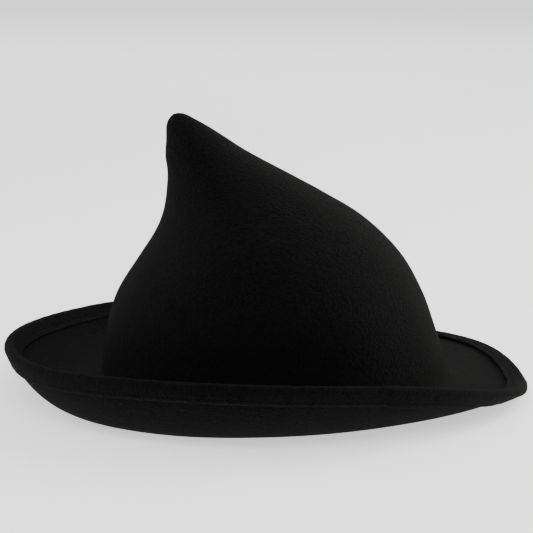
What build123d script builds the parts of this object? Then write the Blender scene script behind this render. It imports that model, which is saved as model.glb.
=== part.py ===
"""Witch hat: a bent felt cone and a curled brim blocked from one piece of wool felt.

The rim is wired, and bound with a folded felt strip whose ends lap on the hat's right.
Millimetres. +X is the hat's front, +Y its left, +Z up. The tip leans back, towards -X.
The origin is the centre of the head opening, on the level line where crown meets brim.
"""
import os
from math import cos, floor, hypot, radians, sin

from build123d import *

os.makedirs("parts", exist_ok=True)

# ---- driving dimensions ----
FOOT_LENGTH = 210.0          # outside of the crown where it meets the brim, front to back
FOOT_WIDTH = 172.0           # and side to side
FELT = 2.6                   # thickness of the blocked felt

# Crown sections from the foot to the tip: (x, z) of the centre, lean of the section
# towards the back in degrees, half length and half width.
CROWN = (
    (0.0, -1.3, 0.0, 104.6, 85.8),
    (0.0, 6.0, 0.0, 105.0, 86.0),
    (-2.0, 30.0, 0.0, 99.8, 81.8),
    (-2.5, 51.0, 0.0, 92.9, 76.6),
    (-2.6, 71.0, 0.5, 80.9, 68.0),
    (-9.2, 90.6, 4.4, 63.9, 56.0),
    (-18.6, 103.0, 8.4, 50.0, 45.4),
    (-26.4, 112.9, 10.4, 39.9, 37.0),
    (-39.2, 129.1, 13.5, 26.0, 25.0),
    (-47.8, 140.0, 17.0, 18.8, 18.4),
    (-53.6, 148.3, 24.0, 12.6, 12.5),
)
TIP_CENTRE = (-55.6, 150.6)  # (x, z) of the ball that rounds the tip
TIP_RADIUS = 9.2
TIP_LEAN = 28.0
TIP_STEPS = (25.0, 50.0, 74.0)          # latitudes of the sections that close the tip, degrees

# Brim by direction, every 30 degrees from the front (+X) round by the hat's left (+Y):
# width of the cut brim, slope where it leaves the crown, and slope at the rim, degrees.
BRIM = (
    (50.0, -20.0, 8.0),
    (54.5, -5.0, -1.0),
    (58.0, -2.0, -4.0),
    (62.0, 3.0, 3.5),
    (65.0, -3.0, 29.5),
    (65.5, -19.0, 55.0),
    (68.0, -23.0, 66.0),
    (78.0, -43.0, 90.0),
    (82.5, -43.0, 99.0),
    (80.0, -36.0, 93.0),
    (68.5, -34.0, 84.0),
    (57.5, -28.5, 46.0),
)
BRIM_STEP = 15               # degrees between the sections that the brim is lofted through
BRIM_ROOT = 1.4              # the brim starts this far inside the crown wall

STRIP = 1.9                  # thickness of the binding strip
STRIP_TOP = 12.5             # how far the strip reaches in over the upper face
STRIP_UNDER = 10.8           # and over the lower face
FIT = 0.15                   # air between layers that are pressed together
LAP_FROM = 293.0             # the strip's outer end lies over its inner end between these
LAP_TO = 305.5               # directions, degrees
LAP_EXTRA = 0.7              # how much thicker the lap stands
LAP_WIDER = 1.2              # and how much further it reaches in

WIRE = 1.1                   # bare diameter of the rim wire
WIRE_WRAP = 0.3              # thickness of the cotton wound round it
JOINER_WALL = 0.2            # wall of the ferrule that holds the wire's two ends
JOINER_GAP = 0.12            # air between it and the cotton
JOINER_FROM = 178.2          # directions of the ferrule's ends, at the back
JOINER_TO = 181.8

THREAD = 0.45                # diameter of the sewing thread
WIRE_SIDES = 12              # flat sides that stand for a round wire
THREAD_SIDES = 6             # and for a round thread
STITCH_INSET = 3.0           # the seam runs this far inside the strip's raw edges
END_STITCHES = 5             # hand stitches that close the lapped end
END_STITCH_PITCH = 2.0
END_STITCH_LENGTH = 4.0

BAND_LOW = 1.5               # the sweatband covers the inside of the crown between these
BAND_HIGH = 33.5             # heights
BAND = 0.9                   # its thickness
BAND_GAP = 0.9               # air between the felt and the sweatband
BAND_SEAM_Z = 4.5            # height of the seam that holds it
BAND_JOIN_STITCHES = 9       # zigzag stitches across the join at the back
BAND_JOIN_PITCH = 3.0
BAND_JOIN_SPAN = 4.0
BAND_JOIN_TILT = 15.0        # degrees
LABEL = 0.4                  # blank size label on the sweatband: thickness,
LABEL_WIDTH = 26.0           # width,
LABEL_HEIGHT = 14.0          # height
LABEL_Z = 18.0               # and middle height
LABEL_SEAM = 1.5             # its two seams run this far from its ends

# ---- the crown's sections ----


def tip_sections():
    """Sections that close the tip as a ball, from its widest circle to a small flat."""
    centre_x, centre_z = TIP_CENTRE
    rows = []
    for latitude in TIP_STEPS:
        rise = TIP_RADIUS * sin(radians(latitude))
        radius = TIP_RADIUS * cos(radians(latitude))
        x = centre_x - rise * sin(radians(TIP_LEAN))
        z = centre_z + rise * cos(radians(TIP_LEAN))
        rows.append((x, z, TIP_LEAN, radius, radius))
    return rows


def crown_plane(x, z, lean):
    """Section plane at (x, 0, z), its normal tipped back by lean degrees."""
    a = radians(lean)
    return Plane(origin=(x, 0, z), x_dir=(cos(a), 0, sin(a)), z_dir=(-sin(a), 0, cos(a)))


def crown_size(height):
    """Centre x, half length and half width of the crown's outside at a low height."""
    for lower, upper in zip(CROWN, CROWN[1:]):
        if height <= upper[1]:
            t = (height - lower[1]) / (upper[1] - lower[1])
            return [lower[i] + t * (upper[i] - lower[i]) for i in (0, 3, 4)]
    raise ValueError("height is above the crown's level sections")


# ---- the brim's sections ----


def around(column, angle):
    """A column of BRIM at any direction: a smooth closed curve through its twelve values."""
    position = (angle % 360) / 30
    index = floor(position)
    t = position - index
    p0, p1, p2, p3 = [BRIM[(index + k) % 12][column] for k in (-1, 0, 1, 2)]
    bend = 2 * p0 - 5 * p1 + 4 * p2 - p3
    return p1 + 0.5 * t * (p2 - p0 + t * (bend + t * (3 * (p1 - p2) + p3 - p0)))


def brim_point(angle, distance, offset=0.0):
    """(out, up) from the foot to a point this far along the brim and off its middle layer."""
    width = around(0, angle)
    start = radians(around(1, angle))
    turn = radians(around(2, angle)) - start
    turn = turn if abs(turn) > 0.001 else 0.001
    slope = start + turn * distance / width
    out = width * (sin(slope) - sin(start)) / turn - offset * sin(slope)
    up = width * (cos(start) - cos(slope)) / turn + offset * cos(slope)
    return out, up


def brim_plane(angle):
    """Upright plane across the brim: its x runs outwards from the foot, its y runs up."""
    a = radians(angle)
    half_length, half_width = FOOT_LENGTH / 2, FOOT_WIDTH / 2
    nx, ny = cos(a) / half_length, sin(a) / half_width
    size = hypot(nx, ny)
    nx, ny = nx / size, ny / size
    foot = (half_length * cos(a), half_width * sin(a), 0)
    return Plane(origin=foot, x_dir=(nx, ny, 0), z_dir=(ny, -nx, 0))


def layer(angle, start, end, offset):
    """Points of one layer of the brim from start to end, measured along the brim."""
    return [brim_point(angle, start + (end - start) * i / 4, offset) for i in range(5)]


def steps(start, end, step=BRIM_STEP):
    """Directions from start to end, both counted, about step degrees apart."""
    count = max(2, round((end - start) / step))
    return [start + (end - start) * i / count for i in range(count + 1)]


ROUND = FELT / 2 + FIT + STRIP          # the bound rim is rounded to this radius
CAVITY = FELT / 2 + FIT                 # and the strip is folded round this one

# ---- felt body: crown and brim in one piece ----

outer_sections = list(CROWN) + tip_sections()
inner_sections = [(x, z, lean, a - FELT, b - FELT) for x, z, lean, a, b in CROWN]


def felt_outline(angle):
    """Sketch of the brim's section, from inside the crown wall to its cut edge."""
    edge = around(0, angle) - ROUND - WIRE
    with BuildSketch(brim_plane(angle)) as section:
        with BuildLine():
            upper = Spline(*layer(angle, -BRIM_ROOT, edge, FELT / 2))
            lower = Spline(*layer(angle, -BRIM_ROOT, edge, -FELT / 2))
            Line(upper @ 1, lower @ 1)
            Line(upper @ 0, lower @ 0)
        make_face()
    return section.sketch


with BuildPart() as felt_body:
    for x, z, lean, half_length, half_width in outer_sections:
        with BuildSketch(crown_plane(x, z, lean)):
            Ellipse(half_length, half_width)
    loft()
    for x, z, lean, half_length, half_width in inner_sections:
        with BuildSketch(crown_plane(x, z, lean)):
            Ellipse(half_length, half_width)
    loft(mode=Mode.SUBTRACT)
    for side in (0, 180):
        loft(sections=[felt_outline(angle) for angle in steps(side, side + 180)])

# ---- binding strip, folded over the rim ----


def strip_outline(angle, inside=CAVITY, outside=ROUND, wider=0.0):
    """Sketch of the folded strip between two offsets: upper leg, round rim, lower leg."""
    rim = around(0, angle) - ROUND
    top_edge = rim - STRIP_TOP + ROUND - wider
    under_edge = rim - STRIP_UNDER + ROUND - wider
    middle = Vector(*brim_point(angle, rim))
    outward = (middle - Vector(*brim_point(angle, rim, 1.0))).rotate(Axis.Z, 90)
    with BuildSketch(brim_plane(angle)) as section:
        with BuildLine():
            top = Spline(*layer(angle, top_edge, rim, outside))
            under = Spline(*layer(angle, under_edge, rim, -outside))
            ThreePointArc(top @ 1, middle + outward * outside, under @ 1)
            top_inside = Spline(*layer(angle, top_edge, rim, inside))
            under_inside = Spline(*layer(angle, under_edge, rim, -inside))
            ThreePointArc(top_inside @ 1, middle + outward * inside, under_inside @ 1)
            Line(top @ 0, top_inside @ 0)
            Line(under @ 0, under_inside @ 0)
        make_face()
    return section.sketch


LAP_FACE = ROUND + LAP_EXTRA
with BuildPart() as rim_binding:
    for side in (0, 180):
        loft(sections=[strip_outline(angle) for angle in steps(side, side + 180)])
    lap = [strip_outline(a, ROUND - STRIP / 3, LAP_FACE, LAP_WIDER) for a in steps(LAP_FROM, LAP_TO, 4)]
    loft(sections=lap)

# ---- loops that follow the rim: wire, its cotton covering, seam threads ----


def loop_outline(angle, inset, offset, radius, sides=WIRE_SIDES):
    """Many-sided section of a loop that runs inset from the rim and offset from mid-felt."""
    with BuildSketch(brim_plane(angle)) as section:
        with Locations(brim_point(angle, around(0, angle) - inset, offset)):
            RegularPolygon(radius, sides)
    return section.sketch


def loop(inset, offset, radius, sides=WIRE_SIDES):
    """Closed loop round the whole rim, lofted as two halves."""
    with BuildPart() as ring:
        for start in (0, 180):
            turns = steps(start, start + 180)
            loft(sections=[loop_outline(a, inset, offset, radius, sides) for a in turns])
    return ring.part


WIRE_INSET = ROUND - FIT
WRAP_RADIUS = WIRE / 2 + WIRE_WRAP
with BuildPart() as rim_wire:
    add(loop(WIRE_INSET, 0.0, WIRE / 2))

with BuildPart() as wire_wrap:
    add(loop(WIRE_INSET, 0.0, WRAP_RADIUS))
    add(rim_wire.part, mode=Mode.SUBTRACT)

with BuildPart() as wire_joiner:
    bore = WRAP_RADIUS + JOINER_GAP
    for radius, mode in ((bore + JOINER_WALL, Mode.ADD), (bore, Mode.SUBTRACT)):
        ferrule = steps(JOINER_FROM, JOINER_TO, 1)
        loft(sections=[loop_outline(a, WIRE_INSET, 0.0, radius) for a in ferrule], mode=mode)

SEAM_OFFSET = LAP_FACE + FIT + THREAD / 2
with BuildPart() as binding_stitches_top:
    add(loop(STRIP_TOP - STITCH_INSET, SEAM_OFFSET, THREAD / 2, THREAD_SIDES))
with BuildPart() as binding_stitches_under:
    add(loop(STRIP_UNDER - STITCH_INSET, -SEAM_OFFSET, THREAD / 2, THREAD_SIDES))

with BuildPart() as binding_end_stitches:
    for row in range(END_STITCHES):
        from_rim = STRIP_UNDER + LAP_WIDER - END_STITCH_PITCH * (row + 0.5)
        spot = brim_point(LAP_TO, around(0, LAP_TO) - from_rim, -SEAM_OFFSET - THREAD - FIT)
        with BuildSketch(brim_plane(LAP_TO)):
            with Locations(spot):
                Circle(THREAD / 2)
        extrude(amount=END_STITCH_LENGTH / 2, both=True)

# ---- sweatband and what is sewn to it ----


def crown_ring(heights, outset, inset):
    """Band inside the crown through these heights, between two depths from its outside."""
    with BuildPart() as ring:
        for depth, mode in ((outset, Mode.ADD), (inset, Mode.SUBTRACT)):
            for height in heights:
                x, half_length, half_width = crown_size(height)
                with BuildSketch(crown_plane(x, height, 0)):
                    Ellipse(half_length - depth, half_width - depth)
            loft(mode=mode)
    return ring.part


BAND_OUTSIDE = FELT + BAND_GAP
BAND_INSIDE = BAND_OUTSIDE + BAND
with BuildPart() as sweatband:
    add(crown_ring((BAND_LOW, 6.0, 30.0, BAND_HIGH), BAND_OUTSIDE, BAND_INSIDE))

with BuildPart() as sweatband_stitches:
    seam = (BAND_SEAM_Z - THREAD / 2, BAND_SEAM_Z + THREAD / 2)
    add(crown_ring(seam, BAND_INSIDE + FIT, BAND_INSIDE + FIT + THREAD))

with BuildPart() as sweatband_join_stitches:
    for row in range(BAND_JOIN_STITCHES):
        height = BAND_SEAM_Z + BAND_JOIN_PITCH / 2 + BAND_JOIN_PITCH * row
        x, half_length, _ = crown_size(height)
        tilt = BAND_JOIN_TILT if row % 2 else -BAND_JOIN_TILT
        with Locations((x - half_length + BAND_INSIDE + 2 * FIT + THREAD / 2, 0, height)):
            Cylinder(THREAD / 2, BAND_JOIN_SPAN, rotation=(90 + tilt, 0, 0))

LABEL_OUTSIDE = BAND_INSIDE + FIT
label_low, label_high = LABEL_Z - LABEL_HEIGHT / 2, LABEL_Z + LABEL_HEIGHT / 2
with BuildPart() as size_label:
    add(crown_ring((label_low, label_high), LABEL_OUTSIDE, LABEL_OUTSIDE + LABEL))
    label_x, _, label_y = crown_size(LABEL_Z)
    with Locations((label_x, label_y, LABEL_Z)):
        Box(LABEL_WIDTH, FOOT_WIDTH / 2, 2 * LABEL_HEIGHT, mode=Mode.INTERSECT)

with BuildPart() as label_stitches:
    add(crown_ring((label_low + THREAD, label_high - THREAD), LABEL_OUTSIDE + LABEL + FIT,
                   LABEL_OUTSIDE + LABEL + FIT + THREAD))
    reach = LABEL_WIDTH / 2 - LABEL_SEAM
    with Locations((label_x - reach, label_y, LABEL_Z), (label_x + reach, label_y, LABEL_Z)):
        Box(THREAD, FOOT_WIDTH / 2, 2 * LABEL_HEIGHT, mode=Mode.INTERSECT)

parts = {
    "felt_body": felt_body,
    "rim_binding": rim_binding,
    "rim_wire": rim_wire,
    "wire_wrap": wire_wrap,
    "wire_joiner": wire_joiner,
    "binding_stitches_top": binding_stitches_top,
    "binding_stitches_under": binding_stitches_under,
    "binding_end_stitches": binding_end_stitches,
    "sweatband": sweatband,
    "sweatband_stitches": sweatband_stitches,
    "sweatband_join_stitches": sweatband_join_stitches,
    "size_label": size_label,
    "label_stitches": label_stitches,
}
for name, piece in parts.items():
    piece.part.label = name
    export_step(piece.part, f"parts/{name}.step")
    print(name, len(piece.part.solids()), round(piece.part.volume), piece.part.is_valid)
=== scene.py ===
"""Witch hat: the looks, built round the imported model, in metres and in its frame.

+X is the hat's front, +Y its left, +Z up. The felt is one shell of crown and brim, the rim is
bound with a folded strip whose ends lap on the hat's right, and a ribbon lines the head opening.
"""
from math import cos, exp, floor, hypot, pi, radians, sin, tau

import bmesh
import bpy
from mathutils import Matrix, Vector, noise


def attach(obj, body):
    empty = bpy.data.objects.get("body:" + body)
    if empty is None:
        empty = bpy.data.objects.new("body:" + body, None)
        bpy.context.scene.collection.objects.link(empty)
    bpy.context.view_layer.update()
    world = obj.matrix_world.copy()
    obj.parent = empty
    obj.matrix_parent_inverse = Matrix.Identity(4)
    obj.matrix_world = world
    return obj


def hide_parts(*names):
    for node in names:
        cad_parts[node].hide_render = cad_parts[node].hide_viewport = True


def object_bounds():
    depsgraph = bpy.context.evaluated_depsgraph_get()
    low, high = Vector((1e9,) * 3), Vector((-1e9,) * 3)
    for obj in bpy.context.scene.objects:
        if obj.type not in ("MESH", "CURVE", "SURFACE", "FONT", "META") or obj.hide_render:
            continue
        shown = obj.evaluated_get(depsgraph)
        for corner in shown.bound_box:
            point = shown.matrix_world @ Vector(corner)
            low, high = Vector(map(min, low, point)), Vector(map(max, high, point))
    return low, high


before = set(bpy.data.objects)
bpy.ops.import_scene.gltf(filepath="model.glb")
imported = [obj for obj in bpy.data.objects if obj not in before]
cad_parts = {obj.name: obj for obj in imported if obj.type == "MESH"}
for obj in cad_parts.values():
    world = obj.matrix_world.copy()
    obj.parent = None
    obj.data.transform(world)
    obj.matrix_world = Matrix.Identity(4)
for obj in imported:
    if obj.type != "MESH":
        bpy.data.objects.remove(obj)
CAD_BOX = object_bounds()
MM = 0.001

# ---- sizes, in millimetres, as the model has them ----
FOOT_LENGTH, FOOT_WIDTH = 210.0, 172.0      # outside of the crown at the head opening
FELT = 2.6
FIT = 0.15
STRIP = 1.9
CAVITY = FELT / 2 + FIT                     # the binding is folded round this radius
ROUND = CAVITY + STRIP                      # and rounds the rim to this one
STRIP_TOP, STRIP_UNDER = 12.5, 10.8         # reach of its two legs
STITCH_INSET = 3.0
LAP_FROM, LAP_TO = 293.0, 305.5             # directions between which its ends lap
LAP_EXTRA, LAP_WIDER = 0.7, 1.2

# Crown sections: centre x and z, backward lean in degrees, half length, half width.
CROWN = (
    (0.0, -1.3, 0.0, 104.6, 85.8),
    (0.0, 6.0, 0.0, 105.0, 86.0),
    (-2.0, 30.0, 0.0, 99.8, 81.8),
    (-2.5, 51.0, 0.0, 92.9, 76.6),
    (-2.6, 71.0, 0.5, 80.9, 68.0),
    (-9.2, 90.6, 4.4, 63.9, 56.0),
    (-18.6, 103.0, 8.4, 50.0, 45.4),
    (-26.4, 112.9, 10.4, 39.9, 37.0),
    (-39.2, 129.1, 13.5, 26.0, 25.0),
    (-47.8, 140.0, 17.0, 18.8, 18.4),
    (-53.6, 148.3, 24.0, 12.6, 12.5),
)
TIP_CENTRE, TIP_RADIUS, TIP_LEAN = (-55.6, 150.6), 9.2, 28.0

# Brim every 30 degrees from the front round by the left: width, slope at the crown and at the rim.
# These rows are rounded values of a numerical fit, not chosen ones, and are due to be replaced.
BRIM = (
    (50.0, -20.0, 8.0),
    (54.5, -5.0, -1.0),
    (58.0, -2.0, -4.0),
    (62.0, 3.0, 3.5),
    (65.0, -3.0, 29.5),
    (65.5, -19.0, 55.0),
    (68.0, -23.0, 66.0),
    (78.0, -43.0, 90.0),
    (82.5, -43.0, 99.0),
    (80.0, -36.0, 93.0),
    (68.5, -34.0, 84.0),
    (57.5, -28.5, 46.0),
)


# ---- the hat's surfaces ----


def through(values, t):
    """Smooth value between values[1] and values[2] at t from 0 to 1."""
    p0, p1, p2, p3 = values
    return p1 + 0.5 * t * (p2 - p0 + t * (2 * p0 - 5 * p1 + 4 * p2 - p3 + t * (3 * (p1 - p2) + p3 - p0)))


def smoothstep(low, high, value):
    t = min(max((value - low) / (high - low), 0.0), 1.0)
    return t * t * (3 - 2 * t)


def brim_value(column, angle):
    position = (angle % 360) / 30
    index = floor(position)
    return through([BRIM[(index + k) % 12][column] for k in (-1, 0, 1, 2)], position - index)


def brim_point(angle, distance, offset=0.0):
    """Point on the brim: direction in degrees, distance from the crown, offset above mid-felt."""
    width = brim_value(0, angle)
    start = radians(brim_value(1, angle))
    turn = radians(brim_value(2, angle)) - start
    slope = start + turn * distance / width
    out = width * (sin(slope) - sin(start)) / turn - offset * sin(slope)
    up = width * (cos(start) - cos(slope)) / turn + offset * cos(slope)
    a = radians(angle)
    nx, ny = cos(a) / FOOT_LENGTH, sin(a) / FOOT_WIDTH
    size = hypot(nx, ny)
    x = FOOT_LENGTH / 2 * cos(a) + out * nx / size
    y = FOOT_WIDTH / 2 * sin(a) + out * ny / size
    return Vector((x, y, up)) * MM


def tip_row(latitude):
    """Crown section of the ball at the tip, from its widest circle, 0, to its pole, 90 degrees."""
    rise = TIP_RADIUS * sin(radians(latitude))
    radius = TIP_RADIUS * cos(radians(latitude))
    x = TIP_CENTRE[0] - rise * sin(radians(TIP_LEAN))
    z = TIP_CENTRE[1] + rise * cos(radians(TIP_LEAN))
    return (x, z, TIP_LEAN, radius, radius)


TIP_START = 29.0                            # the ball takes over from the cone at this latitude
CROWN_ROWS = list(CROWN) + [tip_row(TIP_START), tip_row(TIP_START + 20)]
TIP_ROW = len(CROWN)
LAST_ROW = TIP_ROW + 1


def crown_row(position):
    """Crown section at a fractional row number."""
    if position >= TIP_ROW:
        return tip_row(TIP_START + (90 - TIP_START) * (position - TIP_ROW) / (LAST_ROW - TIP_ROW))
    index = min(floor(position), TIP_ROW - 1)
    picks = [CROWN_ROWS[max(index + k, 0)] for k in (-1, 0, 1, 2)]
    return [through([row[i] for row in picks], position - index) for i in range(5)]


def crown_point(angle, position, depth=0.0):
    """Point on the crown at a fractional row, this deep under its outside."""
    x, z, lean, half_length, half_width = crown_row(position)
    a, tilt = radians(angle), radians(lean)
    long_way = max(half_length - depth, 0.0) * cos(a)
    side_way = max(half_width - depth, 0.0) * sin(a)
    return Vector((x + long_way * cos(tilt), side_way, z + long_way * sin(tilt))) * MM


def position_at(height):
    """Fractional crown row at a low height."""
    for i in range(TIP_ROW):
        low, high = CROWN_ROWS[i][1], CROWN_ROWS[i + 1][1]
        if low <= height <= high:
            return i + (height - low) / (high - low)
    raise ValueError("height is above the crown")


# ---- mesh helpers ----

LINE_SAMPLES = 1440                         # points that a seam's line is measured with


def grid_piece(name, around, across, place, join_around=True, join_across=False):
    """A grid of faces laid over place(u, v), u round the hat and v across, each from 0 to 1."""
    bm = bmesh.new()
    bm.loops.layers.uv.verify()
    bmesh.ops.create_grid(bm, x_segments=around, y_segments=across, size=0.5, calc_uvs=True)
    for vert in bm.verts:
        u = round((vert.co.x + 0.5) * around)
        v = round((vert.co.y + 0.5) * across)
        u = u % around if join_around else u
        v = v % across if join_across else v
        vert.co = place(u / around, v / across)
    bmesh.ops.remove_doubles(bm, verts=bm.verts, dist=1e-7)
    bmesh.ops.recalc_face_normals(bm, faces=bm.faces)
    return finished(name, bm)


def finished(name, bm, smooth=True):
    mesh = bpy.data.meshes.new(name)
    bm.to_mesh(mesh)
    bm.free()
    mesh.polygons.foreach_set("use_smooth", [smooth] * len(mesh.polygons))
    piece = bpy.data.objects.new(name, mesh)
    bpy.context.collection.objects.link(piece)
    return piece


def dress(piece, material, slot, *nodes):
    """Gives a piece its material, its body and the model's nodes that it stands for. The slot argument
    is not used.
    """
    piece.data.materials.append(material)
    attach(piece, "root")
    if nodes:
        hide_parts(*nodes)
    return piece


def stations(line, pitch):
    """Even stations along line(angle): their angles, about pitch millimetres apart."""
    angles = [360.0 * i / LINE_SAMPLES for i in range(LINE_SAMPLES + 1)]
    points = [line(a) for a in angles]
    reach = [0.0]
    for p, q in zip(points, points[1:]):
        reach.append(reach[-1] + (q - p).length)
    count = max(1, round(reach[-1] / (pitch * MM)))
    result, j = [], 0
    for i in range(count):
        goal = reach[-1] * (i + 0.5) / count
        while reach[j + 1] < goal:
            j += 1
        t = (goal - reach[j]) / (reach[j + 1] - reach[j])
        result.append(angles[j] + t * (angles[j + 1] - angles[j]))
    return result


def stitch_form():
    """A ball with its poles along X, the form that every stitch is stretched from."""
    bm = bmesh.new()
    bmesh.ops.create_uvsphere(bm, u_segments=8, v_segments=6, radius=1.0,
                              matrix=Matrix.Rotation(pi / 2, 4, "Y"))
    mesh = bpy.data.meshes.new("stitch form")
    bm.to_mesh(mesh)
    bm.free()
    return mesh


STITCH_FORM = stitch_form()


def add_stitch(bm, centre, along, normal, length, width, height):
    """One stitch: a plump grain of thread lying on a surface. Sizes are whole ones, in mm."""
    along = along.normalized()
    side = normal.cross(along).normalized()
    up = along.cross(side)
    turn = Matrix((along, side, up)).transposed().to_4x4()
    size = Matrix.Diagonal((length / 2 * MM, width / 2 * MM, height / 2 * MM, 1))
    old = len(bm.verts)
    bm.from_mesh(STITCH_FORM)
    bm.verts.ensure_lookup_table()
    bmesh.ops.transform(bm, matrix=Matrix.Translation(centre) @ turn @ size, verts=bm.verts[old:])


# ---- materials ----


class Recipe:
    """A node material with a Principled shader, and short calls that add nodes to it."""

    def __init__(self, name):
        self.material = bpy.data.materials.new(name)
        self.material.use_nodes = True
        self.tree = self.material.node_tree
        self.shader = self.tree.nodes["Principled BSDF"]
        self.coordinates = self.tree.nodes.new("ShaderNodeTexCoord")

    def settings(self, **values):
        for key, value in values.items():
            self.shader.inputs[key.replace("_", " ")].default_value = value

    def link(self, source, node, socket):
        self.tree.links.new(source, node.inputs[socket])

    def place(self, space="Object", scale=(1, 1, 1), turn=(0, 0, 0)):
        node = self.tree.nodes.new("ShaderNodeMapping")
        node.inputs["Scale"].default_value = scale
        node.inputs["Rotation"].default_value = turn
        self.link(self.coordinates.outputs[space], node, "Vector")
        return node.outputs["Vector"]

    def noise(self, scale, detail=2.0, roughness=0.5, vector=None, distortion=0.0):
        node = self.tree.nodes.new("ShaderNodeTexNoise")
        node.inputs["Scale"].default_value = scale
        node.inputs["Detail"].default_value = detail
        node.inputs["Roughness"].default_value = roughness
        node.inputs["Distortion"].default_value = distortion
        self.link(vector or self.coordinates.outputs["Object"], node, "Vector")
        return node.outputs["Fac"]

    def wave(self, scale, vector, direction="X", distortion=0.0):
        node = self.tree.nodes.new("ShaderNodeTexWave")
        node.bands_direction = direction
        node.inputs["Scale"].default_value = scale
        node.inputs["Distortion"].default_value = distortion
        self.link(vector, node, "Vector")
        return node.outputs["Fac"]

    def math(self, operation, a, b):
        node = self.tree.nodes.new("ShaderNodeMath")
        node.operation = operation
        for socket, value in ((0, a), (1, b)):
            if isinstance(value, (int, float)):
                node.inputs[socket].default_value = value
            else:
                self.link(value, node, socket)
        return node.outputs[0]

    def second_coordinate(self, vector):
        split = self.tree.nodes.new("ShaderNodeSeparateXYZ")
        self.link(vector, split, "Vector")
        return split.outputs["Y"]

    def ramp(self, value, stops):
        node = self.tree.nodes.new("ShaderNodeValToRGB")
        elements = node.color_ramp.elements
        while len(elements) < len(stops):
            elements.new(0.5)
        for element, (position, colour) in zip(elements, stops):
            element.position = position
            element.color = (*colour, 1)
        self.link(value, node, "Fac")
        return node.outputs["Color"]

    def mix(self, factor, a, b):
        node = self.tree.nodes.new("ShaderNodeMix")
        node.data_type = "RGBA"
        for socket, value in ((0, factor), (6, a), (7, b)):
            if isinstance(value, (int, float, tuple)):
                node.inputs[socket].default_value = value
            else:
                self.tree.links.new(value, node.inputs[socket])
        return node.outputs[2]

    def bump(self, height, strength, distance, below=None):
        node = self.tree.nodes.new("ShaderNodeBump")
        node.inputs["Strength"].default_value = strength
        node.inputs["Distance"].default_value = distance
        self.link(height, node, "Height")
        if below:
            self.link(below, node, "Normal")
        return node.outputs["Normal"]

    def colour(self, source):
        self.link(source, self.shader, "Base Color")

    def normal(self, source):
        self.link(source, self.shader, "Normal")

    def roughness(self, source):
        self.link(source, self.shader, "Roughness")


def grey(value, warmth=0.0):
    return (value * (1 + warmth), value, value * (1 - warmth * 0.4))


CUT_HIGHLIGHT_FADE = 0.012                            # the painted highlight on a cut edge fades over this share
CUT_HIGHLIGHT_GAIN = 3                               # and is this many times as light as the felt


def cut_highlight_stops(highlight_cut_rows):
    """Ramp stops that are white over the given spans and black between them: the mask of the painted
    highlight on cut edges.
    """
    black, white = grey(0.0), grey(1.0)
    stops = []
    for low, high in highlight_cut_rows:
        stops += [(low - CUT_HIGHLIGHT_FADE, black), (low, white), (high, white), (high + CUT_HIGHLIGHT_FADE, black)]
    return [(place, colour) for place, colour in stops if 0.0 <= place <= 1.0]


def wool_felt(name, dark, light, nap, highlight_cut_rows=()):
    """Black wool felt: cloudy density, matted fibre grain and a short nap that catches light.

    Rows of the mesh given as pairs of fractions across it are cut edges. They get a painted highlight, a
    paler colour that stands in for the light the edge catches.
    """
    felt = Recipe(name)
    felt.settings(Sheen_Weight=nap, Sheen_Roughness=0.45, Sheen_Tint=(1.0, 0.97, 0.95, 1))
    felt.settings(IOR=1.12, Specular_IOR_Level=0.3)
    cloud = felt.noise(45, 4, 0.6)
    mottle = felt.noise(520, 3, 0.7, distortion=0.5)
    fibre = felt.noise(1500, 2, 0.6, distortion=1.5)
    grain = felt.math("ADD", felt.math("MULTIPLY", mottle, 0.65), felt.math("MULTIPLY", fibre, 0.35))
    tone = felt.math("ADD", felt.math("MULTIPLY", grain, 0.85), felt.math("MULTIPLY", cloud, 0.15))
    colour = felt.ramp(tone, [(0.38, grey(dark)), (0.64, grey(light, 0.06))])
    # Painted highlight: the cut-edge rows are coloured several times paler, standing in for the light
    # that the edge catches.
    if highlight_cut_rows:
        cut = felt.ramp(felt.second_coordinate(felt.place("UV")), cut_highlight_stops(highlight_cut_rows))
        painted_cut_highlight = felt.ramp(tone, [(0.38, grey(CUT_HIGHLIGHT_GAIN * dark)), (0.64, grey(CUT_HIGHLIGHT_GAIN * light, 0.06))])
        colour = felt.mix(cut, colour, painted_cut_highlight)
    felt.colour(colour)
    felt.roughness(felt.math("ADD", felt.math("MULTIPLY", fibre, 0.15), 0.82))
    coarse = felt.bump(mottle, 1.0, 0.0024)
    felt.normal(felt.bump(fibre, 0.9, 0.0008, coarse))
    return felt.material


def grosgrain():
    """Black ribbon with ribs that run from edge to edge, every millimetre round the band."""
    ribbon = Recipe("grosgrain_ribbon")
    ribbon.settings(Sheen_Weight=0.03, IOR=1.3, Specular_IOR_Level=0.4)
    flat = ribbon.place("UV", (1, 1, 1))
    ribs = ribbon.wave(BAND_RIBS * tau / 20, flat)
    fine = ribbon.noise(2200, 2)
    ribbon.colour(ribbon.ramp(ribs, [(0.0, grey(0.002)), (1.0, grey(0.007))]))
    ribbon.roughness(ribbon.math("ADD", ribbon.math("MULTIPLY", fine, 0.25), 0.45))
    ribbon.normal(ribbon.bump(fine, 0.3, 0.0001, ribbon.bump(ribs, 0.8, 0.0003)))
    return ribbon.material


def thread(name, dark, light):
    """Twisted sewing thread."""
    yarn = Recipe(name)
    yarn.settings(Sheen_Weight=0.02, IOR=1.2, Specular_IOR_Level=0.25)
    twist = yarn.wave(900, yarn.place("Object", turn=(0.5, 0.4, 0.7)), "DIAGONAL", 1.5)
    hairs = yarn.noise(3500, 2)
    yarn.colour(yarn.ramp(twist, [(0.2, grey(dark)), (0.8, grey(light))]))
    yarn.roughness(yarn.math("ADD", yarn.math("MULTIPLY", hairs, 0.2), 0.55))
    yarn.normal(yarn.bump(hairs, 0.3, 0.0001, yarn.bump(twist, 0.6, 0.0002)))
    return yarn.material


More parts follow.
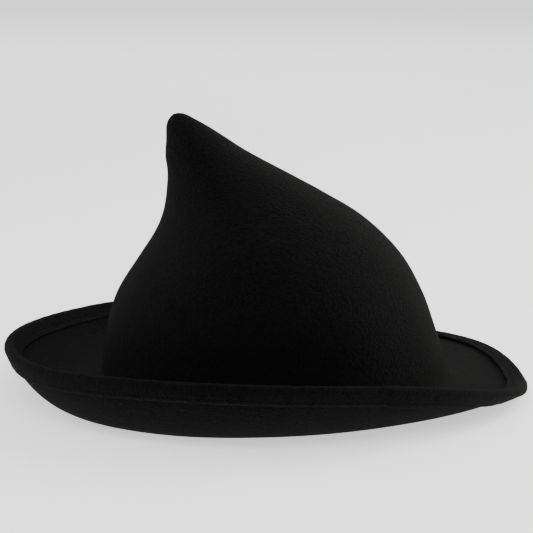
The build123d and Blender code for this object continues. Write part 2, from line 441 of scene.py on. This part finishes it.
def satin_label():
    """Pale woven satin, left blank."""
    satin = Recipe("label_satin")
    satin.settings(Sheen_Weight=0.2, Specular_IOR_Level=0.5)
    warp = satin.wave(1400, satin.place("Object"), "X", 0.6)
    weft = satin.wave(1100, satin.place("Object"), "Z", 0.6)
    weave = satin.math("MULTIPLY", warp, weft)
    satin.colour(satin.ramp(weave, [(0.0, (0.5, 0.49, 0.46)), (1.0, (0.72, 0.71, 0.68))]))
    satin.roughness(satin.math("ADD", satin.math("MULTIPLY", satin.noise(600), 0.2), 0.3))
    satin.normal(satin.bump(weave, 0.5, 0.0001))
    return satin.material


def drawn_metal(name, colour, roughness):
    """Drawn wire or tube, with fine lines and a little tarnish."""
    metal = Recipe(name)
    metal.settings(Metallic=1.0)
    lines = metal.noise(1500, 3, 0.6, metal.place("Object", (1, 1, 8)))
    dull = tuple(c * 0.6 for c in colour)
    metal.colour(metal.ramp(lines, [(0.3, dull), (0.7, colour)]))
    metal.roughness(metal.math("ADD", metal.math("MULTIPLY", lines, 0.2), roughness))
    metal.normal(metal.bump(lines, 0.2, 0.0001))
    return metal.material


# ---- felt shell: crown and brim in one ----

AROUND = 396
SHELL_DEPTH = FELT / 2
FELT_EDGE = ROUND + 1.1                     # the felt stops this far inside the rim
TURN_UP, TURN_OUT = 7.0, 6.5                # the turn from crown to brim starts this far each way
BRIM_SHARE, TURN_SHARE = 0.3, 0.08          # shares of the rows that go to the brim and the turn
SHELL_ROWS = 120


def crown_start():
    return position_at(TURN_UP)


CROWN_START = crown_start()


def crown_stations(count):
    """Fractional crown rows, evenly spaced along the crown's side, from the turn to the pole."""
    fine = [CROWN_START + (LAST_ROW - CROWN_START) * i / 600 for i in range(601)]
    sides = [crown_point(90, p, SHELL_DEPTH) for p in fine]
    reach = [0.0]
    for p, q in zip(sides, sides[1:]):
        reach.append(reach[-1] + (q - p).length)
    result, j = [], 0
    for i in range(count + 1):
        goal = reach[-1] * i / count
        while j < len(reach) - 2 and reach[j + 1] < goal:
            j += 1
        span = max(reach[j + 1] - reach[j], 1e-9)
        result.append(fine[j] + (fine[j + 1] - fine[j]) * min(max((goal - reach[j]) / span, 0), 1))
    return result


BRIM_ROWS = round(SHELL_ROWS * BRIM_SHARE)
TURN_ROWS = round(SHELL_ROWS * TURN_SHARE)
CROWN_STATIONS = crown_stations(SHELL_ROWS - BRIM_ROWS - TURN_ROWS)


def shell_point(u, v):
    """Middle of the felt, from the cut edge of the brim, in over the turn, up to the tip."""
    angle = 360 * u
    row = round(v * SHELL_ROWS)
    if row <= BRIM_ROWS:
        edge = brim_value(0, angle) - FELT_EDGE
        return brim_point(angle, edge + (TURN_OUT - edge) * row / BRIM_ROWS)
    if row < BRIM_ROWS + TURN_ROWS:
        t = (row - BRIM_ROWS) / TURN_ROWS
        start = brim_point(angle, TURN_OUT)
        corner = crown_point(angle, position_at(0.0), SHELL_DEPTH)
        end = crown_point(angle, CROWN_START, SHELL_DEPTH)
        return start * (1 - t) ** 2 + corner * 2 * t * (1 - t) + end * t ** 2
    return crown_point(angle, CROWN_STATIONS[row - BRIM_ROWS - TURN_ROWS], SHELL_DEPTH)


def hand_of_the_blocker(piece, amount, size):
    """Presses slow, shallow unevenness into a shell, as steaming over a block leaves."""
    normals = [vert.normal.copy() for vert in piece.data.vertices]
    for vert, normal in zip(piece.data.vertices, normals):
        push = noise.noise(vert.co / (size * MM)) * smoothstep(12, 30, vert.co.z / MM)
        vert.co += normal * push * amount * MM


def make_felt_body():
    shell = grid_piece("felt_shell", AROUND, SHELL_ROWS, shell_point)
    hand_of_the_blocker(shell, 0.8, 38)
    wall = shell.modifiers.new("felt thickness", "SOLIDIFY")
    wall.thickness = FELT * MM
    wall.offset = 0.0
    wall.use_even_offset = True
    wool = wool_felt("black_wool_felt", 0.0008, 0.0046, 0.03)
    return dress(shell, wool, "felt", "felt_body")


# ---- binding ----

STITCH_PITCH = 3.4
GROOVE_DEPTH, GROOVE_WIDTH = 0.45, 0.9
STRIP_AROUND = 900
CUT_ROUNDING = 0.35
EDGE_WAVE, RIM_WAVE = 0.45, 0.3             # unevenness of the cut edge and of the rim's line
SWELL, PUCKER = 0.12, 0.2                   # slow and close unevenness of the strip's outside


def leg(reach, wider):
    """Insets from the rim of the rows across one leg's outer face, from its cut edge to the rim."""
    edge = reach + wider
    seam = reach - STITCH_INSET
    stops = [edge - CUT_ROUNDING, edge - 0.9, edge - 1.5]
    stops += [seam + GROOVE_WIDTH * k for k in (1.0, 0.66, 0.33, 0.0, -0.33, -0.66, -1.0)]
    stops += [seam - 1.6, seam - 2.6, ROUND]
    return stops


def groove(inset, seam):
    """Depth of the stitched groove at this inset."""
    return GROOVE_DEPTH * exp(-((inset - seam) / (GROOVE_WIDTH * 0.5)) ** 2)


def strip_profile(wider=0.0, under=CAVITY):
    """Closed outline of the folded strip: (inset, offset, face), face 1 on top, -1 under, 0 at rim."""
    rows = []
    edge = STRIP_TOP + wider
    rows += [(edge, under + 0.3, 0), (edge, ROUND - CUT_ROUNDING, 0)]
    rows += [(inset, ROUND, 1) for inset in leg(STRIP_TOP, wider)]
    for i in range(1, 12):
        a = pi / 2 - pi * i / 12
        rows.append((ROUND - ROUND * cos(a), ROUND * sin(a), 0))
    rows += [(inset, -ROUND, -1) for inset in reversed(leg(STRIP_UNDER, wider))]
    edge = STRIP_UNDER + wider
    rows += [(edge, -ROUND + CUT_ROUNDING, 0), (edge, -under - 0.3, 0), (edge - 0.3, -under, 0)]
    rows += [((edge + ROUND) / 2, -under, 0), (ROUND, -under, 0)]
    for i in range(1, 6):
        a = -pi / 2 + pi * i / 6
        rows.append((ROUND - under * cos(a), under * sin(a), 0))
    edge = STRIP_TOP + wider
    rows += [(ROUND, under, 0), ((edge + ROUND) / 2, under, 0), (edge - 0.3, under, 0)]
    return rows


PROFILE_ROWS = len(strip_profile())
# Rows of the strip's two cut edges, which get a painted highlight in the felt's colour.
BINDING_CUT_HIGHLIGHTS = ((0.0, 3 / PROFILE_ROWS), (37 / PROFILE_ROWS, 40 / PROFILE_ROWS))


def strip_point(angle, row, lift=0.0):
    """Point of a strip outline at a direction, with the stitches' groove and a wavy cut edge."""
    inset, offset, face = row
    seam = (STRIP_TOP if face > 0 else STRIP_UNDER) - STITCH_INSET
    a = radians(angle)
    ring = Vector((cos(a), sin(a), 0.0))
    if inset > ROUND:
        side = 3.0 if offset > 0 else -3.0
        share = smoothstep(seam, seam + STITCH_INSET, inset)
        inset += EDGE_WAVE * share * noise.noise(ring * 11 + Vector((0, 0, side)))
    height = abs(offset)
    if face:
        height -= groove(inset, seam) * (0.8 + 0.2 * noise.noise(ring * 60))
    if inset < ROUND:
        inset -= RIM_WAVE * (1 - inset / ROUND) * noise.noise(ring * 22 + Vector((0, 0, 5)))
    swell = SWELL * noise.noise(ring * 9 + Vector((0, 0, 7)))
    swell += PUCKER * noise.noise(ring * 48 + Vector((0, 0, inset * 0.25)))
    if height > CAVITY + 0.5:
        height += swell + lift
    middle = brim_value(0, angle)
    return brim_point(angle, middle - inset, height if offset > 0 else -height)


def make_binding(material):
    rows = strip_profile()

    def place(u, v):
        return strip_point(360 * u, rows[round(v * len(rows)) % len(rows)])

    strip = grid_piece("binding_strip", STRIP_AROUND, len(rows), place, join_across=True)
    strip_length()
    return dress(strip, material, "binding_felt", "rim_binding")


def strip_length():
    """Cut length of the binding strip: once round the rim, and the lap."""
    points = [brim_point(a, brim_value(0, a)) for a in range(0, 360, 3)]
    once = sum((q - p).length for p, q in zip(points, points[1:] + points[:1]))
    return once * (1 + (LAP_TO - LAP_FROM) / 360)


LAP_STEPS = 36
CUT_SLANT = 0.4                             # the cut end runs this many degrees aslant


def make_lap(material):
    """Outer end of the strip, lying over its inner end and cut aslant."""
    rows = strip_profile(LAP_WIDER, ROUND - 0.6)

    def place(u, v):
        row = rows[round(v * len(rows)) % len(rows)]
        slant = CUT_SLANT * (row[0] / STRIP_TOP - 0.5)
        angle = LAP_FROM + (LAP_TO - slant - LAP_FROM) * u
        buried = 1 - smoothstep(0.0, 0.35, u)
        cut = smoothstep(0.96, 1.0, u)
        lift = LAP_EXTRA - (LAP_EXTRA + 0.25) * buried - 0.25 * cut
        inset = row[0] - LAP_WIDER * buried * (1 if row[0] > ROUND + 2 else 0)
        return strip_point(angle, (inset, row[1], row[2]), lift)

    lap = grid_piece("binding_lap", LAP_STEPS, len(rows), place, join_around=False, join_across=True)
    bm = bmesh.new()
    bm.from_mesh(lap.data)
    rim = [edge for edge in bm.edges if edge.is_boundary]
    bmesh.ops.holes_fill(bm, edges=rim, sides=0)
    bmesh.ops.recalc_face_normals(bm, faces=bm.faces)
    bm.to_mesh(lap.data)
    bm.free()
    return dress(lap, material, "binding_felt", "rim_binding")


def lap_rise(angle):
    """How far the seam threads climb where the strip's ends lap."""
    if LAP_FROM <= angle <= LAP_TO:
        share = (angle - LAP_FROM) / (LAP_TO - LAP_FROM)
        return max(LAP_EXTRA - (LAP_EXTRA + 0.25) * (1 - smoothstep(0.0, 0.35, share)), 0.0)
    return 0.0


def make_rim_seam(name, reach, side, material, node):
    """Row of lockstitches along one leg of the binding."""

    def line(angle):
        height = ROUND - GROOVE_DEPTH + 0.12 + lap_rise(angle)
        return brim_point(angle, brim_value(0, angle) - reach + STITCH_INSET, side * height)

    bm = bmesh.new()
    for angle in stations(line, STITCH_PITCH):
        along = line(angle + 0.1) - line(angle - 0.1)
        outward = brim_point(angle, 60, side) - brim_point(angle, 60, 0)
        add_stitch(bm, line(angle), along, outward, STITCH_PITCH * 0.82, 0.5, 0.45)
    return dress(finished(name, bm), material, "seam_thread", node)


def make_end_stitches(material):
    """Hand stitches that catch down the cut end of the lap."""
    bm = bmesh.new()
    for side, reach in ((1, STRIP_TOP), (-1, STRIP_UNDER)):
        for i in range(5):
            inset = reach + LAP_WIDER - 1.0 - 2.1 * i
            angle = LAP_TO - CUT_SLANT * (inset / STRIP_TOP - 0.5)
            height = side * (ROUND + LAP_EXTRA * 0.55)
            distance = brim_value(0, angle) - inset
            centre = brim_point(angle, distance, height)
            before = brim_point(angle - 0.5, distance, height)
            along = brim_point(angle + 0.5, distance, height * 0.93) - before
            outward = brim_point(angle, distance, side) - brim_point(angle, distance, 0)
            add_stitch(bm, centre, along, outward, 3.2, 0.4, 0.5)
    return dress(finished("lap_stitches", bm), material, "seam_thread", "binding_end_stitches")


# ---- sweatband ----

BAND_LOW, BAND_HIGH, BAND = 1.5, 33.5, 0.9
BAND_OUTSIDE = FELT + 0.9
BAND_RIBS = 560
BAND_LAP_FROM, BAND_LAP_TO = 176.0, 183.0   # directions between which the ribbon's ends lap
BAND_SEAM_Z = 4.5
BAND_PITCH = 4.2                            # from stitch to stitch along its lower seam


def band_point(angle, height, depth):
    return crown_point(angle, position_at(height), depth)


def band_lift(angle):
    """How far the ribbon's outer end stands in over its inner end."""
    if BAND_LAP_FROM <= angle <= BAND_LAP_TO:
        return 0.8 * smoothstep(BAND_LAP_FROM, BAND_LAP_FROM + 3.5, angle)
    return 0.0


def make_sweatband():
    edge = BAND / 4
    levels = [BAND_LOW + edge * 0.6, BAND_LOW + 1.2, BAND_SEAM_Z - 0.8, BAND_SEAM_Z, BAND_SEAM_Z + 0.8]
    levels += [8.0, 14.0, 20.0, 26.0, BAND_HIGH - 1.2, BAND_HIGH - edge * 0.6]
    rows = [(BAND_LOW, BAND / 2)] + [(z, BAND) for z in levels] + [(BAND_HIGH, BAND / 2)]
    rows += [(z, 0.0) for z in reversed(levels)]

    def place(u, v):
        angle = 360 * u
        height, depth = rows[round(v * len(rows)) % len(rows)]
        if depth:
            depth += band_lift(angle)
            depth -= 0.25 * exp(-((height - BAND_SEAM_Z) / 0.7) ** 2)
            ripple = noise.noise(Vector((cos(radians(angle)) * 4, sin(radians(angle)) * 4, height / 20)))
            depth += 0.5 * max(ripple, 0.0) * smoothstep(8, 30, height)
        return band_point(angle, height, BAND_OUTSIDE + depth)

    ribbon = grid_piece("grosgrain_sweatband", 720, len(rows), place, join_across=True)
    girth = stations_length(lambda a: band_point(a, 16.0, BAND_OUTSIDE))
    return dress(ribbon, grosgrain(), "band_ribbon", "sweatband")


def stations_length(line):
    points = [line(a) for a in range(0, 360, 3)]
    return sum((q - p).length for p, q in zip(points, points[1:] + points[:1]))


def inward(angle, height):
    return band_point(angle, height, 5.0) - band_point(angle, height, 0.0)


def make_band_seam(material):
    """Small running stitches that hold the ribbon's lower edge to the felt."""
    bm = bmesh.new()

    def line(angle):
        return band_point(angle, BAND_SEAM_Z, BAND_OUTSIDE + BAND - 0.1 + band_lift(angle))

    for angle in stations(line, BAND_PITCH):
        along = line(angle + 0.1) - line(angle - 0.1)
        add_stitch(bm, line(angle), along, inward(angle, BAND_SEAM_Z), 2.9, 0.45, 0.45)
    return dress(finished("sweatband_seam", bm), material, "seam_thread", "sweatband_stitches")


def make_band_join(material):
    """Zigzag that closes the ribbon's lapped ends at the back."""
    bm = bmesh.new()
    for i in range(14):
        height = BAND_SEAM_Z + 1.5 + 1.9 * i
        side = 1 if i % 2 else -1
        depth = BAND_OUTSIDE + BAND + 0.55
        low = band_point(BAND_LAP_TO - 1.2 - 0.8 * side, height - 0.9, depth)
        high = band_point(BAND_LAP_TO - 1.2 + 0.8 * side, height + 0.9, depth)
        length = (high - low).length / MM
        add_stitch(bm, (low + high) / 2, high - low, inward(BAND_LAP_TO, height), length, 0.45, 0.45)
    return dress(finished("sweatband_join", bm), material, "seam_thread", "sweatband_join_stitches")


def make_label(material, yarn):
    """Blank size label on the left of the sweatband, and the two seams at its ends."""
    reach, z, half, thick = 13.0, 18.0, 7.0, 0.4
    middle, span = 90.0, 7.2
    depth = BAND_OUTSIDE + BAND + 0.25
    columns = [(0.0, 0.5), (0.02, 1.0), (0.2, 1.1), (0.5, 1.15), (0.8, 1.1), (0.98, 1.0), (1.0, 0.5)]
    rows = [(t, k) for t, k in columns] + [(t, 0.0) for t, _ in reversed(columns[1:-1])]

    def place(u, v):
        t, lift = rows[round(v * len(rows)) % len(rows)]
        height = z - half + 2 * half * t
        puff = 0.5 * sin(pi * u) * (1 if lift else 0)
        return band_point(middle - span + 2 * span * u, height, depth + thick * lift + puff)

    label = grid_piece("size_label_blank", 30, len(rows), place, join_around=False, join_across=True)
    bm = bmesh.new()
    bm.from_mesh(label.data)
    bmesh.ops.holes_fill(bm, edges=[edge for edge in bm.edges if edge.is_boundary], sides=0)
    bmesh.ops.recalc_face_normals(bm, faces=bm.faces)
    bm.to_mesh(label.data)
    bm.free()
    dress(label, material, "label_satin", "size_label")
    bm = bmesh.new()
    for side in (-1, 1):
        angle = middle + side * (span - 1.0)
        for i in range(5):
            height = z - half + 1.6 + 2.7 * i
            point = band_point(angle, height, depth + thick * 1.1 + 0.25)
            above = band_point(angle, height + 1, depth + thick * 1.1 + 0.25)
            add_stitch(bm, point, above - point, inward(angle, height), 2.0, 0.35, 0.35)
    dress(finished("label_seams", bm), yarn, "seam_thread", "label_stitches")


# ---- hidden parts that the model already has right ----


def finish_node(node, material):
    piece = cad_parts[node]
    for slot in piece.material_slots:
        slot.material = material


def make_hidden_finishes():
    finish_node("rim_wire", drawn_metal("drawn_steel", (0.55, 0.55, 0.56), 0.3))
    finish_node("wire_joiner", drawn_metal("satin_brass", (0.7, 0.52, 0.24), 0.35))
    finish_node("wire_wrap", thread("cotton_winding", 0.01, 0.03))


# ---- studio ----


def make_stage():
    low = CAD_BOX[0].z
    bm = bmesh.new()
    bmesh.ops.create_grid(bm, x_segments=1, y_segments=1, size=9.0)
    bmesh.ops.translate(bm, verts=bm.verts, vec=(0, 0, low - 0.0005))
    floor_piece = finished("studio_floor", bm, smooth=False)
    paper = Recipe("pale_paper")
    paper.settings(Roughness=0.9, Specular_IOR_Level=0.1)
    paper.settings(Emission_Strength=0.85, Emission_Color=(1, 1, 1, 1))
    paper.colour(paper.ramp(paper.noise(3, 2), [(0.0, (0.93, 0.93, 0.93)), (1.0, (0.95, 0.95, 0.95))]))
    floor_piece.data.materials.append(paper.material)


def add_light(name, place, aim, size, power, colour=(1, 1, 1)):
    lamp = bpy.data.lights.new(name, "AREA")
    lamp.shape = "RECTANGLE"
    lamp.size, lamp.size_y = size
    lamp.energy = power
    lamp.color = colour
    holder = bpy.data.objects.new(name, lamp)
    holder.location = place
    holder.rotation_euler = (Vector(aim) - Vector(place)).to_track_quat("-Z", "Y").to_euler()
    bpy.context.collection.objects.link(holder)


def make_lights():
    world = bpy.data.worlds.new("white studio")
    world.use_nodes = True
    sky = world.node_tree.nodes["Background"]
    sky.inputs["Color"].default_value = (1, 1, 1, 1)
    sky.inputs["Strength"].default_value = 0.5
    bpy.context.scene.world = world
    add_light("right strip", (1.0, 0.35, 0.4), (0, 0, 0.07), (0.5, 1.2), 22, (1, 0.97, 0.94))
    add_light("left strip", (-1.0, 0.4, 0.3), (0, 0, 0.07), (0.4, 1.0), 5)
    add_light("front fill", (-0.1, -1.3, 1.1), (0, 0, 0.07), (1.0, 1.0), 18)
    add_light("back strip", (0.1, 1.8, 0.8), (0, 0, 0.03), (1.6, 0.3), 11)


CAMERA_DISTANCE = 1.4
CAMERA_ELEVATION = 12.5
CAMERA_AIM = (-0.00468, 0.0, 0.0662)
FRAME_WIDTH = 0.323531                      # metres across the view at the aim


def make_camera():
    camera = bpy.data.cameras.new("camera")
    camera.lens = camera.sensor_width * CAMERA_DISTANCE / FRAME_WIDTH
    camera.clip_end = 50
    holder = bpy.data.objects.new("camera", camera)
    e = radians(CAMERA_ELEVATION)
    holder.location = Vector(CAMERA_AIM) + Vector((0, -cos(e), sin(e))) * CAMERA_DISTANCE
    holder.rotation_euler = (pi / 2 - e, 0, 0)
    bpy.context.collection.objects.link(holder)
    bpy.context.scene.camera = holder


make_camera()
make_felt_body()
# The binding's felt carries a painted highlight along its cut edges.
strip_felt = wool_felt("binding_felt", 0.0005, 0.0046, 0.025, BINDING_CUT_HIGHLIGHTS)
make_binding(strip_felt)
make_lap(strip_felt)
black_thread = thread("black_thread", 0.0008, 0.002)
make_rim_seam("rim_seam_top", STRIP_TOP, 1, black_thread, "binding_stitches_top")
make_rim_seam("rim_seam_under", STRIP_UNDER, -1, black_thread, "binding_stitches_under")
make_end_stitches(black_thread)
make_sweatband()
make_band_seam(black_thread)
make_band_join(black_thread)
make_label(satin_label(), black_thread)
make_hidden_finishes()
make_stage()
make_lights()
